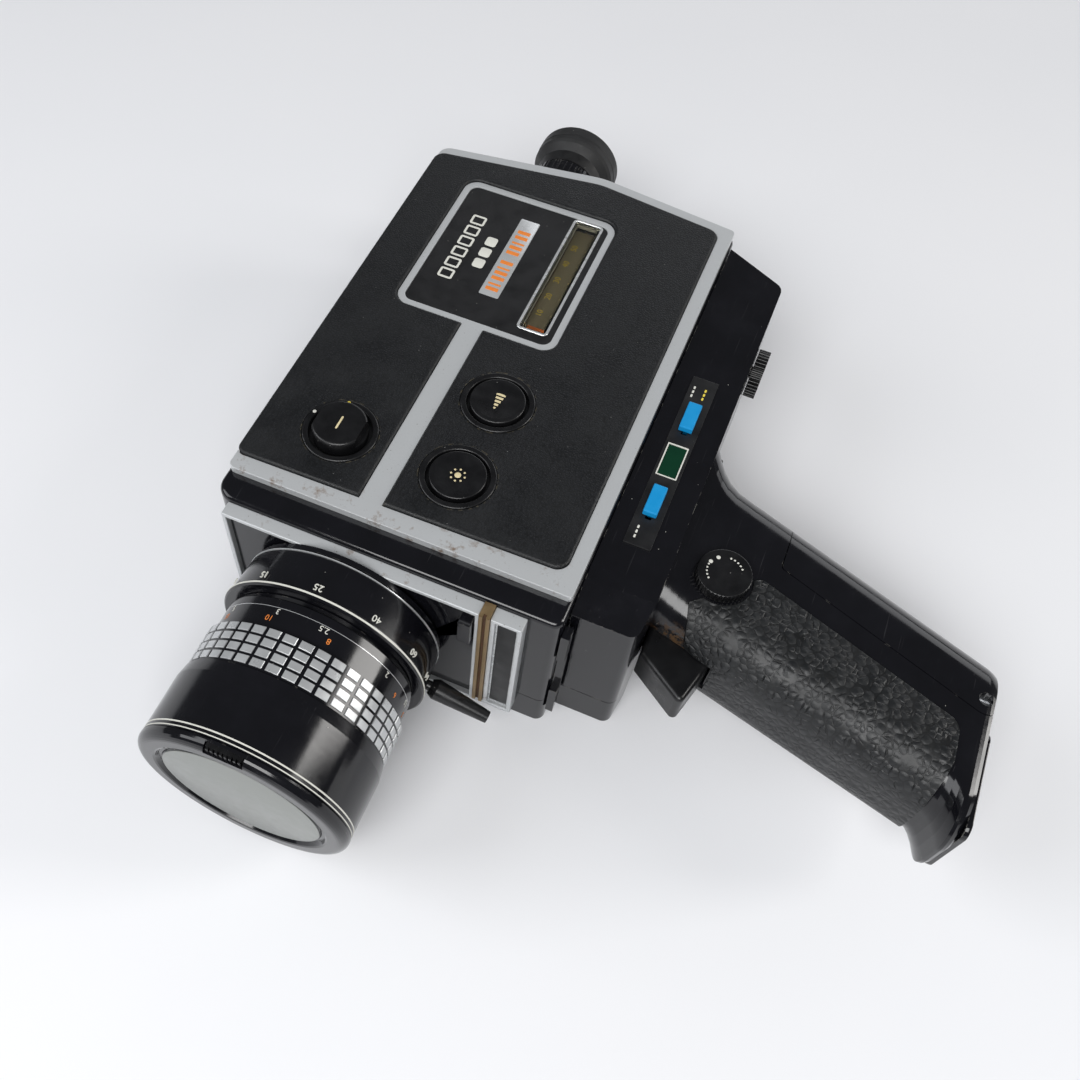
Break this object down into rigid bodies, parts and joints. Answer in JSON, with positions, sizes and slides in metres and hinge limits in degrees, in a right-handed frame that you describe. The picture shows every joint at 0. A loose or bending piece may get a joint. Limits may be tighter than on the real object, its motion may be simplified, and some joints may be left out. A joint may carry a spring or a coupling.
{
  "type": "sound cine camera",
  "caption": "Pistol-grip cine camera lying on its right side, with zoom lens, capped front, leather side panel, film door and swinging battery door.",
  "frame": {"origin": "on the rest plane, straight below the optical axis, at the film plane", "axes": "+Z to the camera's left side (up as it lies), -Y the way the lens looks, +X down the camera towards the foot of the grip"},
  "size_m": [0.227, 0.2622, 0.0698],
  "materials": {
    "black_lacquer": "glossy",
    "satin_silver": "satin",
    "leather": "matte",
    "black_print": "satin",
    "clear_acrylic": "glossy",
    "green_acrylic": "glossy",
    "orange_paint": "matte",
    "black_plastic": "satin",
    "grip_plastic": "glossy",
    "blue_plastic": "satin",
    "steel": "satin",
    "cell_steel": "glossy",
    "chamber_black": "matte",
    "brass": "satin",
    "nylon": "matte",
    "rubber": "matte",
    "aluminium": "satin",
    "board": "matte",
    "glass": "glossy",
    "black_anodised": "satin"
  },
  "bodies": {
    "body": {"main_housing": "black_lacquer", "sound_housing": "black_lacquer", "right_cover": "black_lacquer", "side_cover_plate": "satin_silver", "front_bezel": "satin_silver", "leather_side_panel": "leather", "grip_leather": "leather", "info_panel": "black_print", "switch_panel": "black_print", "counter_window": "clear_acrylic", "button_dishes": "black_plastic", "indicator_window": "green_acrylic", "case_screws": "steel", "door_hinge_pin": "steel", "film_chamber": "chamber_black", "capstan_motor": "steel", "sound_head": "steel", "main_motor": "steel", "mechanism_plate": "aluminium", "film_gate": "steel", "circuit_board": "board", "reflex_prisms": "glass", "finder_tube": "black_anodised", "eyepiece_lens": "glass", "eyecup": "rubber", "sound_sockets": "steel", "front_panel": "black_lacquer", "lens_barrel": "black_anodised", "grip_shell": "grip_plastic", "battery_hinge_screw": "steel", "foot_plate": "steel", "tripod_bush": "steel", "battery_cells": "cell_steel", "release_switch": "black_plastic"},
    "shutter": {"shutter_disc": "steel"},
    "motor_shaft": {"motor_pinion": "brass"},
    "capstan": {"capstan_flywheel": "brass"},
    "idler": {"idler_gear": "nylon"},
    "spindle": {"take_up_spindle": "nylon"},
    "roller": {"pinch_roller": "rubber"},
    "pointer": {"counter_pointer": "orange_paint"},
    "fade": {"fade_button": "black_plastic"},
    "backlight": {"backlight_button": "black_plastic"},
    "density": {"density_knob": "black_plastic"},
    "exposure": {"exposure_slider": "blue_plastic"},
    "motor_switch": {"motor_slider": "blue_plastic"},
    "zoom": {"zoom_ring": "black_anodised", "zoom_lever": "black_plastic"},
    "variator": {"variator_group": "glass"},
    "focus": {"focus_ring": "black_anodised", "front_barrel": "black_anodised", "front_element": "glass"},
    "cap": {"lens_cap": "black_plastic"},
    "dioptre": {"dioptre_ring": "black_anodised"},
    "level": {"level_knob": "black_plastic"},
    "lock": {"lock_dial": "black_plastic"},
    "release": {"trigger": "black_plastic"},
    "door": {"film_door": "black_lacquer"},
    "latch": {"door_latch": "black_plastic"},
    "cell_door": {"battery_door": "grip_plastic"}
  },
  "joints": [
    {"name": "shutter_spin", "type": "hinge", "parent": "body", "child": "shutter", "pos_m": [0.016, -0.018, 0.026], "axis": [0, 1, 0], "continuous": true},
    {"name": "motor_spin", "type": "hinge", "parent": "body", "child": "motor_shaft", "pos_m": [0.046, -0.018, 0.026], "axis": [0, 1, 0], "continuous": true},
    {"name": "capstan_spin", "type": "hinge", "parent": "body", "child": "capstan", "pos_m": [0.044, 0.006, 0.042], "axis": [0, 0, 1], "continuous": true},
    {"name": "idler_spin", "type": "hinge", "parent": "body", "child": "idler", "pos_m": [0.03511, 0.02481, 0.042], "axis": [0, 0, 1], "continuous": true},
    {"name": "take_up_spin", "type": "hinge", "parent": "body", "child": "spindle", "pos_m": [0.02554, 0.04506, 0.042], "axis": [0, 0, 1], "continuous": true},
    {"name": "roller_spin", "type": "hinge", "parent": "body", "child": "roller", "pos_m": [0.0508, 0.006, 0.03], "axis": [0, 0, 1], "continuous": true},
    {"name": "footage_travel", "type": "slide", "parent": "body", "child": "pointer", "axis": [0, 1, 0], "range_m": [0, 0.044]},
    {"name": "fade_press", "type": "slide", "parent": "body", "child": "fade", "axis": [0, 0, -1], "range_m": [0, 0.001], "stiffness_N_per_m": 300},
    {"name": "backlight_press", "type": "slide", "parent": "body", "child": "backlight", "axis": [0, 0, -1], "range_m": [0, 0.001], "stiffness_N_per_m": 300},
    {"name": "density_turn", "type": "hinge", "parent": "body", "child": "density", "pos_m": [-0.0185, -0.023, 0.066], "axis": [0, 0, 1], "range_deg": [-45, 45]},
    {"name": "exposure_slide", "type": "slide", "parent": "body", "child": "exposure", "axis": [0, 1, 0], "range_m": [-0.003, 0.003]},
    {"name": "motor_slide", "type": "slide", "parent": "body", "child": "motor_switch", "axis": [0, 1, 0], "range_m": [-0.003, 0.003]},
    {"name": "zoom_turn", "type": "hinge", "parent": "body", "child": "zoom", "pos_m": [0, -0.069, 0.034], "axis": [0, 1, 0], "range_deg": [-75, 12]},
    {"name": "variator_travel", "type": "slide", "parent": "body", "child": "variator", "axis": [0, 1, 0], "range_m": [-0.003, 0.012]},
    {"name": "focus_turn", "type": "hinge", "parent": "body", "child": "focus", "pos_m": [0, -0.09, 0.034], "axis": [0, 1, 0], "range_deg": [-60, 60]},
    {"name": "cap_pull", "type": "slide", "parent": "focus", "child": "cap", "axis": [0, -1, 0], "range_m": [0, 0.02]},
    {"name": "dioptre_turn", "type": "hinge", "parent": "body", "child": "dioptre", "pos_m": [-0.002, 0.119, 0.048], "axis": [0, 1, 0], "range_deg": [-60, 60]},
    {"name": "level_turn", "type": "hinge", "parent": "body", "child": "level", "pos_m": [0.086, 0.08, 0.034], "axis": [1, 0, 0], "range_deg": [-135, 135]},
    {"name": "lock_turn", "type": "hinge", "parent": "body", "child": "lock", "pos_m": [0.0987, -0.0158, 0.054], "axis": [0, 0, 1], "range_deg": [0, 70]},
    {"name": "trigger_pull", "type": "slide", "parent": "body", "child": "release", "axis": [0, 1, 0], "range_m": [0, 0.0035], "stiffness_N_per_m": 600, "springref_m": -0.001},
    {"name": "film_door_swing", "type": "hinge", "parent": "body", "child": "door", "pos_m": [-0.0452, 0.04, 0.014], "axis": [0, 1, 0], "range_deg": [0, 100]},
    {"name": "latch_slide", "type": "slide", "parent": "door", "child": "latch", "axis": [0, 1, 0], "range_m": [0, 0.004]},
    {"name": "battery_door_swing", "type": "hinge", "parent": "body", "child": "cell_door", "pos_m": [0.1758, -0.022, 0.034], "axis": [0, 0, -1], "range_deg": [0, 95]}
  ],
  "couplings": [
    {"joint": "motor_spin", "follows": "shutter_spin", "ratio": -2},
    {"joint": "idler_spin", "follows": "capstan_spin", "ratio": -1.6},
    {"joint": "take_up_spin", "follows": "capstan_spin", "ratio": 0.88889},
    {"joint": "roller_spin", "follows": "capstan_spin", "ratio": -0.4348},
    {"joint": "variator_travel", "follows": "zoom_turn", "m_per_rad": -0.008}
  ]
}
